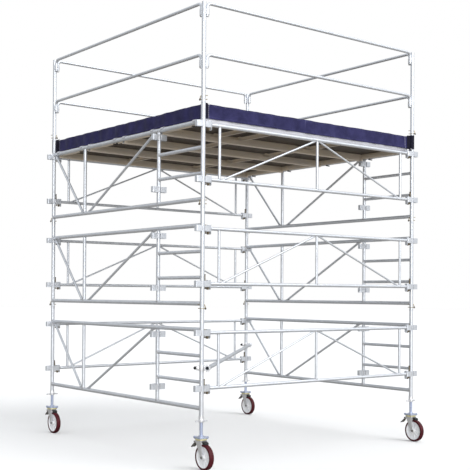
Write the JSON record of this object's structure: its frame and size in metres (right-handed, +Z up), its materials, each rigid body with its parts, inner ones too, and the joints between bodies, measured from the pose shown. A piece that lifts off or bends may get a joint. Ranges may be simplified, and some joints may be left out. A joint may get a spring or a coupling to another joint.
{
  "type": "mobile tower scaffold",
  "caption": "Rolling work tower: ladder frames and brace frames on screw-jack casters, with a railed and sheeted deck and a hatch.",
  "frame": {"origin": "on the floor at the centre of the tower's plan", "axes": "+Z up; +X from the left ladder frames to the right ones, along the platforms; +Y from the front brace frames to the back ones, away from the ladder bays"},
  "size_m": [3.1893, 3.3177, 4.4807],
  "materials": {
    "galvanised_tube": "bright zinc-coated tube, satin",
    "deck_aluminium": "mill-finish extrusion, satin",
    "deck_plywood": "film-faced plywood, worn matt",
    "hatch_plywood": "film-faced plywood, worn matt",
    "toe_canvas": "coated canvas, dull",
    "clamp_steel": "zinc-plated pressing",
    "jack_steel": "zinc-plated screw and plate",
    "fork_steel": "zinc-plated pressing",
    "wheel_tread": "dark red polyurethane, semi-matt",
    "pedal_steel": "dark plated steel"
  },
  "bodies": {
    "tower": {"ladder_frame_left_1": "galvanised_tube", "ladder_frame_right_1": "galvanised_tube", "brace_frame_front_1": "galvanised_tube", "brace_frame_back_1": "galvanised_tube", "ladder_frame_left_2": "galvanised_tube", "ladder_frame_right_2": "galvanised_tube", "brace_frame_front_2": "galvanised_tube", "brace_frame_back_2": "galvanised_tube", "ladder_frame_left_3": "galvanised_tube", "ladder_frame_right_3": "galvanised_tube", "brace_frame_front_3": "galvanised_tube", "brace_frame_back_3": "galvanised_tube", "platform_frame_1": "deck_aluminium", "deck_panel_1": "deck_plywood", "platform_frame_2": "deck_aluminium", "deck_panel_2": "deck_plywood", "platform_frame_3": "deck_aluminium", "deck_panel_3": "deck_plywood", "platform_frame_4": "deck_aluminium", "deck_panel_4": "deck_plywood", "guard_post_front_left": "galvanised_tube", "guard_post_front_right": "galvanised_tube", "guard_post_back_right": "galvanised_tube", "guard_post_back_left": "galvanised_tube", "guard_rail_front_mid": "galvanised_tube", "guard_rail_front_top": "galvanised_tube", "guard_rail_right_mid": "galvanised_tube", "guard_rail_right_top": "galvanised_tube", "guard_rail_back_mid": "galvanised_tube", "guard_rail_back_top": "galvanised_tube", "guard_rail_left_mid": "galvanised_tube", "guard_rail_left_top": "galvanised_tube", "toe_sheet_front": "toe_canvas", "toe_sheet_right": "toe_canvas", "toe_sheet_back": "toe_canvas", "toe_sheet_left": "toe_canvas", "plan_brace": "galvanised_tube", "plan_clamp_near": "clamp_steel", "plan_clamp_far": "clamp_steel"},
    "hatch": {"hatch_lid": "hatch_plywood"},
    "nut_front_left": {"jack_nut_front_left": "galvanised_tube"},
    "jack_front_left": {"jack_screw_front_left": "jack_steel"},
    "swivel_front_left": {"caster_fork_front_left": "fork_steel"},
    "wheel_front_left": {"caster_wheel_front_left": "wheel_tread"},
    "pedal_front_left": {"brake_pedal_front_left": "pedal_steel"},
    "nut_front_right": {"jack_nut_front_right": "galvanised_tube"},
    "jack_front_right": {"jack_screw_front_right": "jack_steel"},
    "swivel_front_right": {"caster_fork_front_right": "fork_steel"},
    "wheel_front_right": {"caster_wheel_front_right": "wheel_tread"},
    "pedal_front_right": {"brake_pedal_front_right": "pedal_steel"},
    "nut_back_right": {"jack_nut_back_right": "galvanised_tube"},
    "jack_back_right": {"jack_screw_back_right": "jack_steel"},
    "swivel_back_right": {"caster_fork_back_right": "fork_steel"},
    "wheel_back_right": {"caster_wheel_back_right": "wheel_tread"},
    "pedal_back_right": {"brake_pedal_back_right": "pedal_steel"},
    "nut_back_left": {"jack_nut_back_left": "galvanised_tube"},
    "jack_back_left": {"jack_screw_back_left": "jack_steel"},
    "swivel_back_left": {"caster_fork_back_left": "fork_steel"},
    "wheel_back_left": {"caster_wheel_back_left": "wheel_tread"},
    "pedal_back_left": {"brake_pedal_back_left": "pedal_steel"}
  },
  "joints": [
    {"name": "hatch_hinge", "type": "hinge", "parent": "tower", "child": "hatch", "pos_m": [-1.145, -1.4325, 3.38], "axis": [1, 0, 0], "range_deg": [0, 93]},
    {"name": "nut_turn_front_left", "type": "hinge", "parent": "tower", "child": "nut_front_left", "pos_m": [-1.5, -1.5, 0.46], "axis": [0, 0, 1], "range_deg": [-5400, 9000]},
    {"name": "jack_slide_front_left", "type": "slide", "parent": "tower", "child": "jack_front_left", "axis": [0, 0, -1], "range_m": [-0.1201, 0.2001]},
    {"name": "caster_swivel_front_left", "type": "hinge", "parent": "jack_front_left", "child": "swivel_front_left", "pos_m": [-1.5, -1.5, 0.28], "axis": [0, 0, 1], "continuous": true},
    {"name": "wheel_spin_front_left", "type": "hinge", "parent": "swivel_front_left", "child": "wheel_front_left", "pos_m": [-1.5, -1.555, 0.12244], "axis": [1, 0, 0], "continuous": true},
    {"name": "brake_pedal_front_left", "type": "hinge", "parent": "swivel_front_left", "child": "pedal_front_left", "pos_m": [-1.5, -1.434, 0.262], "axis": [1, 0, 0], "range_deg": [0, 25]},
    {"name": "nut_turn_front_right", "type": "hinge", "parent": "tower", "child": "nut_front_right", "pos_m": [1.5, -1.5, 0.46], "axis": [0, 0, 1], "range_deg": [-5400, 9000]},
    {"name": "jack_slide_front_right", "type": "slide", "parent": "tower", "child": "jack_front_right", "axis": [0, 0, -1], "range_m": [-0.1201, 0.2001]},
    {"name": "caster_swivel_front_right", "type": "hinge", "parent": "jack_front_right", "child": "swivel_front_right", "pos_m": [1.5, -1.5, 0.28], "axis": [0, 0, 1], "continuous": true},
    {"name": "wheel_spin_front_right", "type": "hinge", "parent": "swivel_front_right", "child": "wheel_front_right", "pos_m": [1.5, -1.555, 0.12244], "axis": [1, 0, 0], "continuous": true},
    {"name": "brake_pedal_front_right", "type": "hinge", "parent": "swivel_front_right", "child": "pedal_front_right", "pos_m": [1.5, -1.434, 0.262], "axis": [1, 0, 0], "range_deg": [0, 25]},
    {"name": "nut_turn_back_right", "type": "hinge", "parent": "tower", "child": "nut_back_right", "pos_m": [1.5, 1.5, 0.46], "axis": [0, 0, 1], "range_deg": [-5400, 9000]},
    {"name": "jack_slide_back_right", "type": "slide", "parent": "tower", "child": "jack_back_right", "axis": [0, 0, -1], "range_m": [-0.1201, 0.2001]},
    {"name": "caster_swivel_back_right", "type": "hinge", "parent": "jack_back_right", "child": "swivel_back_right", "pos_m": [1.5, 1.5, 0.28], "axis": [0, 0, 1], "continuous": true},
    {"name": "wheel_spin_back_right", "type": "hinge", "parent": "swivel_back_right", "child": "wheel_back_right", "pos_m": [1.5, 1.445, 0.12244], "axis": [1, 0, 0], "continuous": true},
    {"name": "brake_pedal_back_right", "type": "hinge", "parent": "swivel_back_right", "child": "pedal_back_right", "pos_m": [1.5, 1.566, 0.262], "axis": [1, 0, 0], "range_deg": [0, 25]},
    {"name": "nut_turn_back_left", "type": "hinge", "parent": "tower", "child": "nut_back_left", "pos_m": [-1.5, 1.5, 0.46], "axis": [0, 0, 1], "range_deg": [-5400, 9000]},
    {"name": "jack_slide_back_left", "type": "slide", "parent": "tower", "child": "jack_back_left", "axis": [0, 0, -1], "range_m": [-0.1201, 0.2001]},
    {"name": "caster_swivel_back_left", "type": "hinge", "parent": "jack_back_left", "child": "swivel_back_left", "pos_m": [-1.5, 1.5, 0.28], "axis": [0, 0, 1], "continuous": true},
    {"name": "wheel_spin_back_left", "type": "hinge", "parent": "swivel_back_left", "child": "wheel_back_left", "pos_m": [-1.5, 1.445, 0.12244], "axis": [1, 0, 0], "continuous": true},
    {"name": "brake_pedal_back_left", "type": "hinge", "parent": "swivel_back_left", "child": "pedal_back_left", "pos_m": [-1.5, 1.566, 0.262], "axis": [1, 0, 0], "range_deg": [0, 25]}
  ],
  "couplings": [
    {"joint": "jack_slide_front_left", "follows": "nut_turn_front_left", "m_per_rad": 0.0012732},
    {"joint": "jack_slide_front_right", "follows": "nut_turn_front_right", "m_per_rad": 0.0012732},
    {"joint": "jack_slide_back_right", "follows": "nut_turn_back_right", "m_per_rad": 0.0012732},
    {"joint": "jack_slide_back_left", "follows": "nut_turn_back_left", "m_per_rad": 0.0012732}
  ]
}
